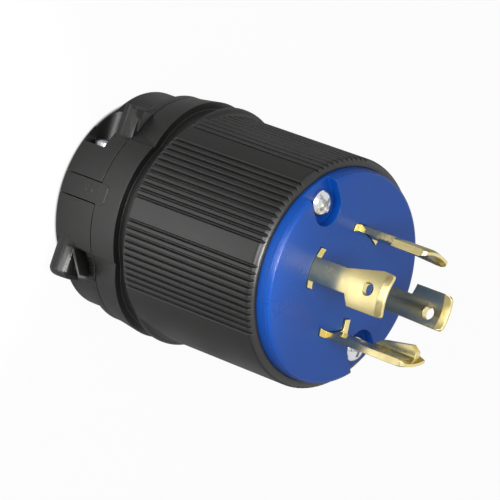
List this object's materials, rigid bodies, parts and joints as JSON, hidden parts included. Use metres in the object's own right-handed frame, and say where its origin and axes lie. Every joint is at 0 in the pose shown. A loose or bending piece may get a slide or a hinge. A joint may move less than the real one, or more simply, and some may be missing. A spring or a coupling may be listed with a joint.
{
  "type": "locking power plug",
  "caption": "Locking power plug with curved hooked brass blades on a blue face, a ribbed black nylon grip body and a two-jaw cord clamp that its screws open and close.",
  "frame": {"origin": "on the plug's axis, at the rear end of its cord clamp, which it stands on", "axes": "+Z along the axis from the cord clamp to the blade tips; +Y up and +X away to the right when the plug lies with its face seen from the front; the clamp jaws open along the line at 62.8 degrees from +X towards +Y"},
  "size_m": [0.0528, 0.053, 0.0869],
  "materials": {
    "black_nylon": "semi-gloss moulded",
    "blue_nylon": "semi-gloss moulded",
    "block_plastic": "matte moulded",
    "brass": "polished, pale",
    "plated_steel": "bright zinc plate",
    "green_steel": "green, for the ground terminal"
  },
  "bodies": {
    "plug_body": {"housing": "black_nylon", "face": "blue_nylon", "terminal_block": "block_plastic", "x_blade": "brass", "y_blade": "brass", "z_blade": "brass", "ground_blade": "brass", "x_pressure_plate": "plated_steel", "y_pressure_plate": "plated_steel", "z_pressure_plate": "plated_steel", "ground_pressure_plate": "plated_steel", "phase_terminal_screws": "plated_steel", "ground_terminal_screw": "green_steel", "assembly_screws": "plated_steel"},
    "upper_clamp": {"upper_jaw": "black_nylon", "upper_clamp_screw": "plated_steel", "upper_clamp_nut": "plated_steel"},
    "lower_clamp": {"lower_jaw": "black_nylon", "lower_clamp_screw": "plated_steel", "lower_clamp_nut": "plated_steel"}
  },
  "joints": [
    {"name": "upper_jaw_slide", "type": "slide", "parent": "plug_body", "child": "upper_clamp", "axis": [0.4571, 0.8894, 0], "range_m": [0, 0.002]},
    {"name": "lower_jaw_slide", "type": "slide", "parent": "plug_body", "child": "lower_clamp", "axis": [-0.4571, -0.8894, 0], "range_m": [0, 0.002]}
  ],
  "couplings": [
    {"joint": "lower_jaw_slide", "follows": "upper_jaw_slide", "ratio": 1}
  ]
}
